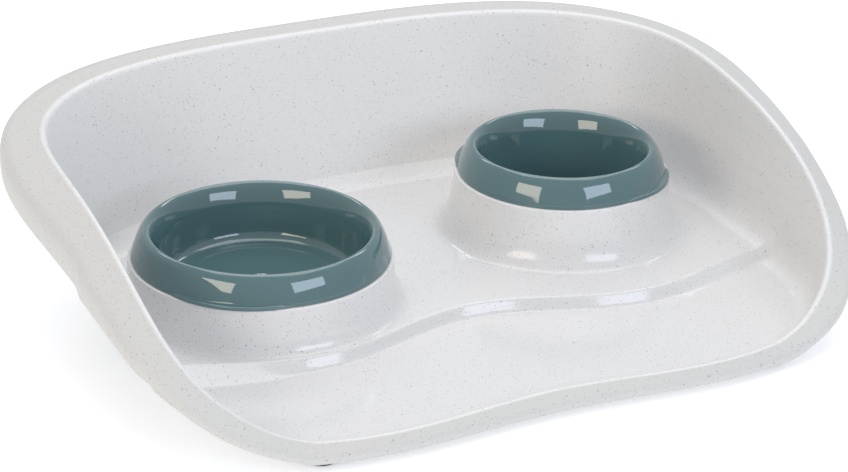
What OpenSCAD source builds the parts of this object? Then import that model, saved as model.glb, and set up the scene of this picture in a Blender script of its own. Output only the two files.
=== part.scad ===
// Double pet bowl: a moulded feeding tray with a high splash wall, two lift-out
// bowls of different depth that stand on round pedestals, and four rubber feet.
// Millimetres. X runs along the front, Y to the back, Z up from the table.

/* [Tray rim] */
// Width across the rim's inner edge, side to side
rim_w = 426; // [400:1:460]
// Depth across the rim's inner edge, front to back
rim_d = 336; // [325:1:365]
// Height of the rim's inner edge at the front
rim_front_z = 14; // [13.5:0.5:18]
// Height of the rim's inner edge at the back
rim_back_z = 113; // [90:1:135]
// Length over which the sides climb from the front's height to the back's
rim_rise_len = 80; // [65:1:100]
// How far the front edge waves in and out
front_wave = 4.25; // [0:0.25:9]

/* [Tray flange] */
// Width of the flange along the front
flange_front_w = 6.75; // [6:0.25:10]
// Width of the flange at the front corners
flange_corner_w = 15.5; // [13:0.5:22]
// Width of the flange along the sides and the back
flange_back_w = 27; // [20:0.5:34]
// Fall of the flange across its width at the front
flange_front_drop = 4.5; // [2:0.5:5]
// Fall of the flange across its width at the sides
flange_side_drop = 10; // [6:0.5:12]
// Fall of the flange across its width at the back
flange_back_drop = 1; // [0.5:0.5:6]
// Height of the downturned skirt at the sides
skirt_side_h = 17; // [12:0.5:20]
// Height of the downturned skirt at the back
skirt_back_h = 13; // [9:0.5:16]
// Gap between the table and the skirt at the front
skirt_gap = 4.75; // [3:0.25:5]
// How far the hand grip stands out of the skirt
grip_out = 3; // [0:0.5:5]
// Length of the hand grip
grip_len = 66; // [50:1:85]
// Distance from the rim's front edge to the middle of the hand grip
grip_from_front = 90; // [80:1:110]

/* [Tray walls and floor] */
// Wall thickness of the moulding
wall_t = 2.6; // [2:0.1:3]
// Height of the front floor above the table
floor_z = 12.5; // [12:0.25:13]
// Height of the deck above the front floor
step_h = 7.5; // [5.5:0.25:9]
// How far the front lip leans outwards
lean_front = 4; // [3:0.25:5]
// How far the side walls lean outwards
lean_side = 8; // [5:0.5:12]
// How far the back wall leans outwards
lean_back = 41; // [30:1:46]
// Fillet run where the side walls meet the floor
side_fillet = 18; // [12:0.5:22]
// Fillet run where the back wall meets the deck
back_fillet = 9; // [6:0.5:12]
// Rounding where the wall turns into the flange
crease_r = 3.75; // [2:0.25:5]
// Distance from the rim's middle forward to the middle of the step
step_forward = 71; // [70:1:76]
// How far the step waves in and out
step_wave = 12; // [8:0.5:14]
// Slope run of the step
step_run = 6.5; // [5:0.25:7.5]

/* [Pedestals] */
// Distance between the two bowls' axes along the front
bowl_pitch = 209; // [204:1:212]
// Sideways shift of both bowls from the middle
bowl_shift = -0.5; // [-3:0.5:3]
// Distance from the rim's middle back to the large bowl's axis
large_back = 3; // [2:0.5:10]
// Distance from the rim's middle back to the small bowl's axis
small_back = 23; // [12:0.5:28]
// Height of the large bowl's seat above the deck
large_seat_h = 26.5; // [24:0.5:40]
// Height of the small bowl's seat above the deck
small_seat_h = 36; // [34:0.5:52]
// Width of the pedestal's edge that shows round a bowl
pedestal_edge_w = 1.75; // [1.5:0.25:2.5]
// Rounding of the pedestal's edge
pedestal_edge_r = 1.2; // [0.8:0.1:1.4]
// How far the large pedestal's foot spreads beyond its bowl
large_spread = 9; // [6:0.5:9.5]
// How far the small pedestal's foot spreads beyond its bowl
small_spread = 15.5; // [12:0.5:16]
// Height of the collar that centres a bowl
collar_h = 6; // [4:0.25:7]
// Clearance between a collar and its bowl
collar_clearance = 0.7; // [0.5:0.1:1]

/* [Bowls] */
// Outer radius of the large bowl's rim
large_r = 75.5; // [70:0.5:76]
// Outer radius of the small bowl's rim
small_r = 64; // [58:0.5:68]
// Inside depth of the large bowl, from the top of its rim
large_depth = 34; // [28:0.5:38]
// Inside depth of the small bowl, from the top of its rim
small_depth = 52; // [40:0.5:54]
// Height of a bowl's rim
bowl_rim_h = 17; // [16:0.5:19]
// Width of a bowl's rim, from its outer edge to its rounding's inner end
bowl_rim_w = 15.5; // [14.5:0.25:16.5]
// Height of the upright band along the rim's lower edge
bowl_band_h = 1.5; // [1:0.1:2.2]
// Width of the rim's outer slope
bowl_slope_w = 1.5; // [1.2:0.1:1.8]
// Height where the outer slope starts to round over
bowl_slope_h = 6; // [5:0.25:7]
// Fall from the rim's top to its rounding's inner end
bowl_lip_drop = 11; // [10:0.25:12]
// Wall thickness of a bowl
bowl_t = 2.5; // [2:0.1:2.8]
// How far the large bowl narrows from its rim's rounding to its floor
large_taper = 3; // [2:0.5:7]
// How far the small bowl narrows from its rim's rounding to its floor
small_taper = 8; // [5:0.5:11]
// Fillet between a bowl's wall and its floor
bowl_fillet = 7; // [4:0.5:9]
// How far a finger tab stands out of the rim
tab_out = 3.5; // [2:0.25:4.5]
// Thickness of a finger tab
tab_t = 2.4; // [2:0.1:3]

/* [Feet] */
// Radius of a rubber foot
foot_r = 9; // [7.5:0.25:10]
// Height of a rubber foot
foot_h = 5; // [4:0.25:6]
// How far a foot stands out of its holder
foot_proud = 2.5; // [1.5:0.25:3]
// Bevel round the underside of a foot
foot_bevel = 0.6; // [0.2:0.1:1]
// Wall of the ring that holds a foot
foot_ring_t = 1.8; // [1.2:0.1:2.2]
// Clearance round a foot in its ring
foot_clearance = 0.1; // [0.05:0.05:0.2]
// Distance of the feet from the rim's side edges
foot_from_side = 73; // [63:1:83]
// Distance of the front feet from the rim's front edge
foot_from_front = 10; // [9:0.5:14]
// Distance of the back feet from the rim's back edge
foot_from_back = 66; // [60:1:72]

/* [Hidden] */
tray_colour = "#E6E4E1";
bowl_colour = "#58767A";
foot_colour = "#1E1E20";
$fn = 128;

// Squareness of the rim's corners, and the power of the climb of its sides
front_corner = 5;
back_corner = 3;
rise_power = 1.15;
// Where the rim starts to climb, and where sizes change along the tray's depth: the
// first two stations lead from front to side values, the last two from side to back
// values, all as shares of the half depth
rise_start_share = -0.978;
flange_shares = [-1.06, -0.86, -0.68, 0.32];
drop_shares = [-1.06, -0.37, 0, 1];
skirt_shares = [-1, -0.1, 0, 1];
lean_shares = [-1.06, -0.75, 0, 1];
// The corners' power changes from back to front between these heights of the turn's sine,
// and the front edge's wave fades in between the next two
corner_turn_share = 0.6;
wave_start_share = 0.2;
wave_full_share = 0.8;
// The hand grip lies on the outer quarters of the width, and fades over its end shares
grip_side_share = 0.75;
grip_fade_share = 0.12;
// The flat share of the flange before its edge rounds over
flat_share = 0.75;
// The most that a fillet takes of the wall that it runs up, and where in the fillet the
// floor ends
fillet_share = 0.4;
floor_edge_share = 0.75;
// Half the arc that a finger tab spans, and the direction of each bowl's front tab
tab_half_angle = 28;
large_tab_angle = -128;
small_tab_angle = -52;
// The share of its spread that a pedestal's wall would take if it ran straight down
draft_share = 0.2;
// Turn between the rings of the wall in front of and behind the step's end
step_gap_angle = 0.5;
// Steps round the rim, along the step, and in a rounded corner
ring_n = 120;
step_n = 60;
round_n = 5;

half_w = rim_w / 2;
half_d = rim_d / 2;
deck_z = floor_z + step_h;
grip_y = grip_from_front - half_d;
skirt_front_h = rim_front_z - flange_front_drop - skirt_gap;
// A solid that joins or cuts another runs this far into or past it
overrun = wall_t / 4;

large_x = bowl_shift - bowl_pitch / 2;
small_x = bowl_shift + bowl_pitch / 2;
large_y = large_back;
small_y = small_back;
large_seat_z = deck_z + large_seat_h;
small_seat_z = deck_z + small_seat_h;

foot_x = half_w - foot_from_side;
foot_front_y = foot_from_front - half_d;
foot_back_y = half_d - foot_from_back;
foot_socket_r = foot_r + foot_clearance;
foot_ring_r = foot_socket_r + foot_ring_t;

// Smooth step from 0 at a to 1 at b
function ease(v, a, b) = let (t = min(1, max(0, (v - a) / (b - a)))) t * t * (3 - 2 * t);
function unit(v) = v / norm(v);
// Quadratic curve from a to c, drawn towards b, with n steps, from step first on
function curve(a, b, c, n = round_n, first = 0) = [for (i = [first:n]) let (t = i / n)
    (1 - t) * (1 - t) * a + 2 * t * (1 - t) * b + t * t * c];
// Point where the line through p along u crosses the line through q along v
function crossing(p, u, q, v) = let (d = q - p)
    p + u * (d[0] * v[1] - d[1] * v[0]) / (u[0] * v[1] - u[1] * v[0]);
// Shift by t to the right of the direction u
function beside(u, t) = t * [u[1], -u[0]];

// A size that goes from its front value to its side value to its back value
function along(y, front, side, back, shares) =
    front + (side - front) * ease(y / half_d, shares[0], shares[1])
    + (back - side) * ease(y / half_d, shares[2], shares[3]);

// The rim's inner edge from above, at angle a: a superellipse, squarer at the front,
// whose front waves in and out with the bowls' spacing
function wave(x) = cos(360 * x / bowl_pitch);
function corner_power(a) =
    back_corner + (front_corner - back_corner) * ease(-sin(a), -corner_turn_share, corner_turn_share);
function rim_reach(a) = let (p = corner_power(a))
    pow(pow(abs(cos(a)) / half_w, p) + pow(abs(sin(a)) / half_d, p), -1 / p);
function rim_xy(a) = let (r = rim_reach(a), x = r * cos(a))
    [x, r * sin(a) + front_wave * wave(x) * ease(-sin(a), wave_start_share, wave_full_share)];
function outward(a) = beside(unit(rim_xy(a + 1) - rim_xy(a - 1)), 1);
// The rim's height climbs from front to back and levels out
function rim_z(y) = let (s = max(0, (y - rise_start_share * half_d) / rim_rise_len))
    rim_front_z + (rim_back_z - rim_front_z) * (1 - exp(-pow(s, rise_power)));

// Sizes of the wall and the flange where the rim passes a place
function step_line(x) = step_wave * wave(x) - step_forward;
function lean(y) = along(y, lean_front, lean_side, lean_back, lean_shares);
function foot_fillet(y) = along(y, side_fillet, side_fillet, back_fillet, lean_shares);
function flange_drop(y) = along(y, flange_front_drop, flange_side_drop, flange_back_drop, drop_shares);
function skirt_h(y) = along(y, skirt_front_h, skirt_side_h, skirt_back_h, skirt_shares);
function grip(p) = abs(p[0]) < grip_side_share * half_w ? 0 :
    grip_out * (1 - ease(abs(p[1] - grip_y) / grip_len, 1 / 2 - grip_fade_share, 1 / 2 + grip_fade_share));
function flange_w(p) =
    along(p[1], flange_front_w, flange_corner_w, flange_back_w, flange_shares) + grip(p);

// Run of the fillet at the foot of the wall, over a floor at the height base
function fillet_run(p, base) =
    min(foot_fillet(p[1]), fillet_share * norm([lean(p[1]), rim_z(p[1]) - base]));

// Section of wall, flange and skirt as [outward, up] points: up the seen face from the
// floor to the skirt's hem, then back along the hidden face. Its inner end lies inside
// the floor, and spans from low to high
function section(p, base, low, high) = let (
    y = p[1],
    foot = [-lean(y), base],
    crease = [0, rim_z(y)],
    edge = crease + [flange_w(p), -flange_drop(y)],
    hem = [edge[0], max(skirt_gap, edge[1] - skirt_h(y))],
    up = unit(crease - foot),
    out = unit(edge - crease),
    f = fillet_run(p, base),
    c = min(crease_r, fillet_share * norm(crease - foot)),
    end = foot[0] - f - wall_t,
    hidden_foot = crossing(foot - [0, 3 * overrun], [1, 0], foot + beside(up, wall_t), up),
    hidden_crease = crossing(foot + beside(up, wall_t), up, crease + beside(out, wall_t), out),
    hidden_edge = crossing(crease + beside(out, wall_t), out, edge - [wall_t, 0], [0, 1]),
    g = min(f, fillet_share * norm(hidden_crease - hidden_foot)))
    concat([[end, low - 3 * overrun], [end, high - overrun]],
        curve(foot - [f, 0], foot, foot + f * up, 3, 1),
        curve(crease - c * up, crease, crease + c * out, 3),
        curve(crease + flat_share * (edge - crease), edge, (edge + hem) / 2, 3),
        [hem, hem - [wall_t, 0], hidden_edge, hidden_crease],
        curve(hidden_foot + g * up, hidden_foot, hidden_foot - [g, 0], 3));

// The floors' outline lies inside the wall's foot, and the step's line ends there
function floor_edge(a, base) = let (p = rim_xy(a))
    p - (lean(p[1]) + floor_edge_share * fillet_run(p, base)) * outward(a);
function past_step(a) = let (p = floor_edge(a, floor_z)) p[1] > step_line(p[0]);
function step_angle(lo, hi, n) = n == 0 ? hi : let (m = (lo + hi) / 2)
    past_step(m) ? step_angle(lo, m, n - 1) : step_angle(m, hi, n - 1);
step_end = step_angle(-60, 30, 20);
front_end = step_end - step_gap_angle;
function arc(from, to) = [for (i = [0:ring_n / 2]) from + (to - from) * 2 * i / ring_n];
front_arc = arc(180 - front_end, 360 + front_end);
back_arc = arc(step_end, 180 - step_end);
// The floors' corners lie halfway between the rings of the wall
function between(arc) = [for (i = [1:len(arc) - 1]) (arc[i - 1] + arc[i]) / 2];
front_edge = [for (a = between(front_arc)) floor_edge(a, floor_z)];
back_edge = [for (a = between(back_arc)) floor_edge(a, deck_z)];

// Rings round the wall at the floor's height in front, and at the deck's height behind
// the step. The two rings beside the step reach from the floor to the deck
function ring(a, base, low, high) = [for (s = section(rim_xy(a), base, low, high))
    let (q = rim_xy(a) + s[0] * outward(a)) [q[0], q[1], s[1]]];
function back_ring(i) = i == 0 || i == len(back_arc) - 1
    ? ring(back_arc[i], floor_z, floor_z, deck_z) : ring(back_arc[i], deck_z, deck_z, deck_z);
rings = concat([for (i = [0:len(back_arc) - 1]) back_ring(i)],
    [for (a = front_arc) ring(a, floor_z, floor_z, floor_z)]);

// The middle of the tray's outline, front to back, is the part's own middle
hem_y = [for (r = rings, q = r) q[1]];
centre_y = (min(hem_y) + max(hem_y)) / 2;

// Points along the step's top edge, moved back by a distance, between the floors' own
// ends or a little into the walls' fillets
edge_x = floor_edge(step_end, floor_z)[0];
riser_x = edge_x + wall_t;
function step_edge(end_x, back) = [for (i = [0:step_n]) let (x = end_x * (2 * i / step_n - 1))
    [x, step_line(x) + back]];
function backwards(list) = [for (i = [len(list) - 1:-1:0]) list[i]];

// Solid through rings of points, each ring joined to the next and capped at the ends
// unless the last ring joins the first
module mesh(rings, closed) {
    n = len(rings);
    m = len(rings[0]);
    sides = [for (i = [0:closed ? n - 1 : n - 2], j = [0:m - 1])
        let (k = ((i + 1) % n) * m, l = (j + 1) % m)
        each [[i * m + j, k + l, k + j], [i * m + j, i * m + l, k + l]]];
    last = (n - 1) * m;
    ends = closed ? [] : [for (j = [1:m - 2]) each [[0, j + 1, j], [last, last + j, last + j + 1]]];
    polyhedron(points = [for (r = rings, q = r) q], faces = concat(sides, ends));
}

module wall_and_flange() {
    mesh(backwards(rings), true);
}

module front_floor() {
    translate([0, 0, floor_z - wall_t]) linear_extrude(wall_t)
        polygon(concat(front_edge, backwards(step_edge(edge_x, wall_t))));
}

module deck() {
    difference() {
        translate([0, 0, deck_z - wall_t]) linear_extrude(wall_t)
            polygon(concat(step_edge(edge_x, 0), back_edge));
        pedestal_hole(large_x, large_y, large_r + large_spread);
        pedestal_hole(small_x, small_y, small_r + small_spread);
    }
}

module pedestal_hole(x, y, foot_r) {
    translate([x, y, floor_z]) cylinder(r = foot_r - 3 * overrun, h = 2 * step_h);
}

module step_riser() {
    translate([0, 0, floor_z - overrun]) linear_extrude(step_h - overrun)
        polygon(concat(step_edge(riser_x, overrun), backwards(step_edge(riser_x, wall_t + 2 * overrun))));
    mesh([for (p = backwards(step_edge(riser_x, 0))) [
        [p[0], p[1] + wall_t, floor_z - wall_t / 2],
        [p[0], p[1] + wall_t, deck_z - overrun],
        [p[0], p[1] - step_run, floor_z - wall_t / 2]]], false);
}

// Hidden line of a bowl's outer slope, and the collar's radius inside it
function slope_side(r) = let (u = unit([-bowl_slope_w, bowl_slope_h - bowl_band_h]))
    [[r, bowl_band_h] - beside(u, bowl_t), u];
function collar_r(r) = let (s = slope_side(r))
    crossing(s[0], s[1], [0, collar_h], [1, 0])[0] - collar_clearance;

// A pedestal's wall drops from the edge round the bowl, and flares out to meet the deck
module pedestal(x, y, r, spread, seat_z) {
    foot = [r + spread, deck_z];
    edge = [r + pedestal_edge_w, seat_z];
    bend = [edge[0] + draft_share * (foot[0] - edge[0]), deck_z];
    under = [-wall_t, -wall_t - overrun];
    inner_r = collar_r(r) - wall_t;
    translate([x, y, 0]) rotate_extrude() polygon(concat(
        [foot + [wall_t / 2, -wall_t / 2]],
        curve(foot, bend, edge - [0, pedestal_edge_r], 2 * round_n, 1),
        curve(edge - [0, pedestal_edge_r], edge, edge - [pedestal_edge_r, 0], 3, 1),
        [[inner_r + wall_t, seat_z], [inner_r + wall_t, seat_z + collar_h], [inner_r, seat_z + collar_h],
        [inner_r, seat_z - wall_t]],
        curve(edge - [wall_t, wall_t], bend + under, foot + under, 2 * round_n)));
}

module foot_ring(x, y, top_z) {
    translate([x, y, foot_proud]) cylinder(r = foot_ring_r, h = top_z - wall_t / 2 - foot_proud);
}

module foot_socket(x, y) {
    translate([x, y, foot_proud - overrun]) cylinder(r = foot_socket_r, h = foot_h - foot_proud + overrun);
}

module tray() {
    color(tray_colour) translate([0, -centre_y, 0]) difference() {
        union() {
            wall_and_flange();
            front_floor();
            deck();
            step_riser();
            pedestal(large_x, large_y, large_r, large_spread, large_seat_z);
            pedestal(small_x, small_y, small_r, small_spread, small_seat_z);
            for (x = [-foot_x, foot_x]) {
                foot_ring(x, foot_front_y, floor_z);
                foot_ring(x, foot_back_y, deck_z);
            }
        }
        for (x = [-foot_x, foot_x], y = [foot_front_y, foot_back_y]) foot_socket(x, y);
    }
}

// A bowl stands on its rim's lower edge, which is its own zero height
function bowl_section(r, depth, taper) = let (
    slope = slope_side(r),
    slope_top = [r - bowl_slope_w, bowl_slope_h],
    lip = [r - bowl_rim_w, bowl_rim_h - bowl_lip_drop],
    apex_h = bowl_rim_h + sqrt((bowl_rim_h - bowl_slope_h) * bowl_lip_drop),
    apex = crossing(slope_top, slope[1], [0, apex_h], [1, 0]),
    inward = unit(lip - apex),
    corner = [lip[0] - taper, bowl_rim_h - depth],
    down = unit(corner - lip),
    wall = lip - beside(down, bowl_t),
    crown = lip - beside(inward, bowl_t),
    under = corner - [0, bowl_t],
    hidden_corner = crossing(wall, down, under, [1, 0]))
    concat([[r, 0], [r, bowl_band_h]],
        curve(slope_top, apex, lip, 2 * round_n),
        curve(corner - bowl_fillet * down, corner, corner - [bowl_fillet, 0]),
        [[0, corner[1]], [0, under[1]]],
        curve(hidden_corner - [bowl_fillet, 0], hidden_corner, hidden_corner - bowl_fillet * down),
        curve(crossing(wall, down, crown, inward), crossing(slope[0], slope[1], crown, inward),
            slope_top - beside(slope[1], bowl_t), 2 * round_n),
        [crossing(slope[0], slope[1], [r - bowl_t, 0], [0, 1]), [r - bowl_t, 0]]);

// A crescent, cut from a disc that stands out of the rim at the tab's middle
module finger_tab(r) {
    shift = tab_out * (2 * r + tab_out) / (2 * (r * (1 - cos(tab_half_angle)) + tab_out));
    difference() {
        translate([shift, 0, 0]) cylinder(r = r + tab_out - shift, h = tab_t);
        translate([0, 0, -overrun]) cylinder(r = r - bowl_t / 2, h = tab_t + 2 * overrun);
    }
}

module bowl(x, y, r, depth, taper, seat_z, tab_angle) {
    color(bowl_colour) translate([x, y - centre_y, seat_z]) {
        rotate_extrude() polygon(bowl_section(r, depth, taper));
        for (turn = [0, 180]) rotate(tab_angle + turn) finger_tab(r);
    }
}

module large_bowl() {
    bowl(large_x, large_y, large_r, large_depth, large_taper, large_seat_z, large_tab_angle);
}

module small_bowl() {
    bowl(small_x, small_y, small_r, small_depth, small_taper, small_seat_z, small_tab_angle);
}

module rubber_foot(x, y) {
    color(foot_colour) translate([x, y - centre_y, 0]) rotate_extrude()
        polygon([[0, 0], [foot_r - foot_bevel, 0], [foot_r, foot_bevel], [foot_r, foot_h], [0, foot_h]]);
}

tray();
large_bowl();
small_bowl();
rubber_foot(-foot_x, foot_front_y);  // foot_front_left
rubber_foot(foot_x, foot_front_y);  // foot_front_right
rubber_foot(-foot_x, foot_back_y);  // foot_back_left
rubber_foot(foot_x, foot_back_y);  // foot_back_right
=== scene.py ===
"""Double pet bowl: a moulded feeding tray with a high splash wall, two lift-out bowls and
four rubber feet. The shapes are formulas in millimetres in the tray rim's own frame, and
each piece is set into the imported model's frame in metres."""
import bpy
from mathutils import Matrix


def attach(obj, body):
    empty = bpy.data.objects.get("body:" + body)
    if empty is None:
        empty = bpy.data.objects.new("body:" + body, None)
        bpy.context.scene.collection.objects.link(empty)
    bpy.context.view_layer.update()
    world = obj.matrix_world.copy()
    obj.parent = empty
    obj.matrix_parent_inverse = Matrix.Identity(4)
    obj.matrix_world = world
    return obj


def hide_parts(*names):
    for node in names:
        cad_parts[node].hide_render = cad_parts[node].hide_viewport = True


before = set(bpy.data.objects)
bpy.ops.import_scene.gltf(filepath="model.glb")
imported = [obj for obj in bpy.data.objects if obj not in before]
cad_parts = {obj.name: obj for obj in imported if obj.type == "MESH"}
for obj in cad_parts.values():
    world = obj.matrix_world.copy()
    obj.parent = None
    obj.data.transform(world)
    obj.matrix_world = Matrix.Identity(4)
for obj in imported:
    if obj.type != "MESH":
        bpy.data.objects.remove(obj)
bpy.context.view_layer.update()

from types import SimpleNamespace

import bmesh
import bpy
import numpy as np
from bpy.props import FloatProperty, FloatVectorProperty, PointerProperty
from mathutils import Matrix, Vector

bl_info = {
    "name": "Double pet bowl",
    "version": (1, 0, 0),
    "blender": (4, 5, 0),
    "location": "3D View > Sidebar > Pet Bowl",
    "description": "Builds a feeding tray with two lift-out bowls on the packed model",
    "category": "Add Mesh",
}

MM = 0.001
# The middle of the tray's outline in the rim's frame, which is the model's own middle
CENTRE_Y = 7.94696

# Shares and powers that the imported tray's rim follows, as in its source
BACK_CORNER = 3.0
FRONT_CORNER = 5.0
CORNER_SPAN = (-0.6, 0.6)
WAVE_SPAN = (0.2, 0.8)
RISE_START = -0.978
RISE_POWER = 1.15
FLANGE_SHARES = (-1.06, -0.86, -0.68, 0.32)
DROP_SHARES = (-1.06, -0.37, 0, 1)
SKIRT_SHARES = (-1, -0.1, 0, 1)
LEAN_SHARES = (-1.06, -0.75, 0, 1)
GRIP_SIDE = 0.75
GRIP_FADE = 0.12
# The right grip bulges less, since the photo shows no notch in its outline
RIGHT_GRIP = 0.2
FLAT_SHARE = 0.75
FILLET_SHARE = 0.4
DRAFT_SHARE = 0.2
TAB_HALF_ANGLE = np.radians(28)

# The step's left and right ends lie this far out. There its slope runs out wider, by these
# shares, and its foot is softer than in the middle, by these roundings.
STEP_ENDS = (105, 165)
END_RUN = (3.2, 1.1)
STEP_FOOT_R, STEP_TOP_R = 0.5, 0.4
END_FOOT_R = (1.8, 0.6)
# Over this span of the depth the back gets its beads and its flatter fillet
BACK_SPAN = (0.55, 0.8)
BEAD_PLACES = (0.78, 0.88, 0.98)
BEAD_W = 0.024
BACK_FLATNESS = 0.85
# Roundings of hidden edges, as a share of the wall
HIDDEN_BEND = 0.3

# How far a pedestal's foot lies under the deck, how much deeper its lap ends than the deck
# is thick, and the roundings along its collar
PEDESTAL_SINK = 0.02
PEDESTAL_LAP = 0.3
COLLAR_ROUNDS = (0, 0.5, 0.8, 0.8, 0)
# How far the holes for the pedestals reach past the deck and the floor
HOLE_MARGIN = 6
# Roundings of a foot holder, and of a pad's grooves, flange and top edge
HOLDER_ROUNDS = (0.4, 0.4, 0, 0, 0, 0)
GROOVE_ROUND, PAD_ROUNDS = 0.15, (0.6, 0.3, 0, 0.3, 0)
# Grip grooves under a pad, from radius to radius, with their depth and the run of a side
PAD_GROOVES = ((2.6, 4.0), (5.8, 7.2))
GROOVE_H, GROOVE_RUN = 0.5, 0.4
# The pad's flange under its holder: its reach, and the heights of its edge and inner end
PAD_FLANGE_OUT, PAD_FLANGE_H, PAD_FLANGE_TOP = 0.9, 2.2, 2.35
# Rounding of a bowl's inner lip, the radius of the innermost points of its floor, and how
# far a tab stands out where it is fully grown
LIP_ROUND = 1.0
INNER_R = 0.35
TAB_GROWN = 1.2
# The tabs' angles from the right, in degrees
LARGE_TAB, SMALL_TAB = -128, -52
# Gate mark and ring in the bowls' floors: radius, half width and height
GATE_MARK = (8.2, 0.6, 0.5)
LARGE_RING = (44.5, 0.7, 0.4)
SMALL_RING = (28, 0.7, 0.4)

# Angles that part the rim into front, sides and back, and the points along each part. The
# sides have a denser band of points at the step, at these distances from its line.
CORNER_ANGLE = 38.0
FRONT_STEPS = 190
SIDE_STEPS = (44, 70)
BAND_OFFSETS = (-8, -6.6, -5.7, -5.1, -4.6, -4.1, -3.5, -2.6, -1.7, -1.1, -0.6, -0.2, 0.2, 0.7, 1.4,
                2.6, 4)
# Points of the tray's section: its fillet, wall, crease and flange
FILLET_STEPS = 12
WALL_POINTS = 4
CREASE_STEPS = 6
FLANGE_POINTS = 23
CREASE_ROW = FILLET_STEPS + 1 + WALL_POINTS
# Points round a bowl's pedestal and round a foot
ROUND_STEPS = 240
FOOT_STEPS = 96
# Edges that turn by more than this are sharp, and points closer than this, in metres, are one
SHARP_ANGLE, PEDESTAL_SHARP, BOWL_SHARP = 38, 50, 45
MERGE_DISTANCE = 2e-6

# The wall is this satin and the flange fully so. Their crease is less so.
WALL_SATIN = 0.55
CREASE_POLISH = 0.35
# Roughness and strength of the grain on the tray's polished and satin faces, and roughness
# of the bowls
TRAY_ROUGHNESS = (0.11, 0.62)
TRAY_GRAIN = (0.015, 0.12)
BOWL_ROUGHNESS = (0.03, 0.08)
ABS_IOR = 1.54
# Fine, middle and rare large flecks: spacing and radius in millimetres, share of the cells
# that hold one, and darkness. A fleck is full within this share of its radius.
FLECKS = ((1.1, 0.34, 0.9, 0.5), (1.7, 0.45, 0.8, 0.62), (3.2, 0.6, 0.6, 0.7))
FLECK_CORE = 0.55
DUSTY = (0.05, 0.05, 0.052, 1)
# Sockets of a colour mix: its factor, its two colours and its result
FACTOR, MIX_A, MIX_B, MIXED = 0, 6, 7, 2

# Lamps: azimuth from the camera's own and height angle in degrees, distance, width and
# height in metres, power in watts and colour
LAMPS = (("warm_softbox", -38, 23, 1.9, 0.92, 0.54, 7.6, "#FFF1DE"),
         ("cool_softbox", 43, 23, 1.9, 0.96, 0.54, 7.6, "#DFEBFF"),
         ("top_softbox", 170, 78, 2.2, 2.0, 1.6, 21, "#FFFFFF"),
         ("back_softbox", 180, 46, 2.4, 2.6, 0.3, 10, "#FFFFFF"))
LAMP_TARGET = (0, 0, 0.05)
WORLD_COLOUR, WORLD_STRENGTH = "#F2F5FA", 0.68
FLOOR_HALF, FLOOR_GLOW = 8, 0.4
# Camera, as fitted to the photo: azimuth, focal length as a share of the picture's width,
# place in the rim's frame in millimetres, line of sight, and roll in degrees
CAMERA_AZIMUTH = -26.69
CAMERA_FOCAL = 2800 / 848
CAMERA_PLACE = (-683.7, -1357.6, 722.3)
CAMERA_SIGHT = (0.4097, 0.8149, -0.4099)
CAMERA_ROLL = 1.0


def length(name, size, what):
    """A length property, given in millimetres."""
    return FloatProperty(name=name, description=what, default=size * MM, unit="LENGTH", precision=4)


def colour(name, hexa, what):
    """A colour property, given as an sRGB hex value."""
    return FloatVectorProperty(name=name, description=what, default=linear(hexa),
                               subtype="COLOR", size=4, min=0, max=1)


def linear(hexa):
    """An sRGB hex value as a linear RGBA tuple."""
    values = [int(hexa[i:i + 2], 16) / 255 for i in (1, 3, 5)]
    return tuple(v / 12.92 if v <= 0.04045 else ((v + 0.055) / 1.055) ** 2.4
                 for v in values) + (1.0,)


class PetBowlTraySizes(bpy.types.PropertyGroup):
    """Sizes of the tray, without its pedestals and foot holders"""
    rim_w: length("Rim width", 426, "Width across the rim's inner edge")
    rim_d: length("Rim depth", 336, "Depth across the rim's inner edge")
    rim_front_z: length("Front height", 14, "Height of the rim's inner edge at the front")
    rim_back_z: length("Back height", 113, "Height of the rim's inner edge at the back")
    rim_rise_len: length("Climb", 80, "Length over which the sides climb")
    front_wave: length("Front wave", 4.25, "How far the front edge waves in and out")
    flange_front_w: length("Front flange", 6.75, "Width of the flange along the front")
    flange_corner_w: length("Corner flange", 15.5, "Width of the flange at the front corners")
    flange_back_w: length("Back flange", 27, "Width of the flange along the sides and back")
    flange_front_drop: length("Front fall", 4.5, "Fall of the flange at the front")
    flange_side_drop: length("Side fall", 10, "Fall of the flange at the sides")
    flange_back_drop: length("Back fall", 1, "Fall of the flange at the back")
    skirt_side_h: length("Side skirt", 17, "Height of the downturned skirt at the sides")
    skirt_back_h: length("Back skirt", 13, "Height of the downturned skirt at the back")
    skirt_gap: length("Skirt gap", 4.75, "Gap between the table and the skirt at the front")
    grip_out: length("Grip bulge", 3, "How far the hand grip stands out of the skirt")
    grip_len: length("Grip length", 66, "Length of the hand grip")
    grip_from_front: length("Grip place", 90, "From the rim's front edge to the hand grip")
    wall_t: length("Wall", 2.6, "Wall thickness of the moulding")
    floor_z: length("Floor height", 12.5, "Height of the front floor above the table")
    step_h: length("Step", 7.5, "Height of the deck above the front floor")
    lean_front: length("Front lean", 4, "How far the front lip leans outwards")
    lean_side: length("Side lean", 8, "How far the side walls lean outwards")
    lean_back: length("Back lean", 41, "How far the back wall leans outwards")
    side_fillet: length("Side fillet", 18, "Fillet where the side walls meet the floor")
    back_fillet: length("Back fillet", 9, "Fillet where the back wall meets the deck")
    crease_r: length("Crease", 3.75, "Rounding where the wall turns into the flange")
    step_forward: length("Step place", 71, "From the rim's middle forward to the step")
    step_wave: length("Step wave", 12, "How far the step waves in and out")
    step_run: length("Step run", 3.5, "Slope run of the step")
    bead_h: length("Bead", 0.55, "Height of the fine beads along the back rim")


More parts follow.
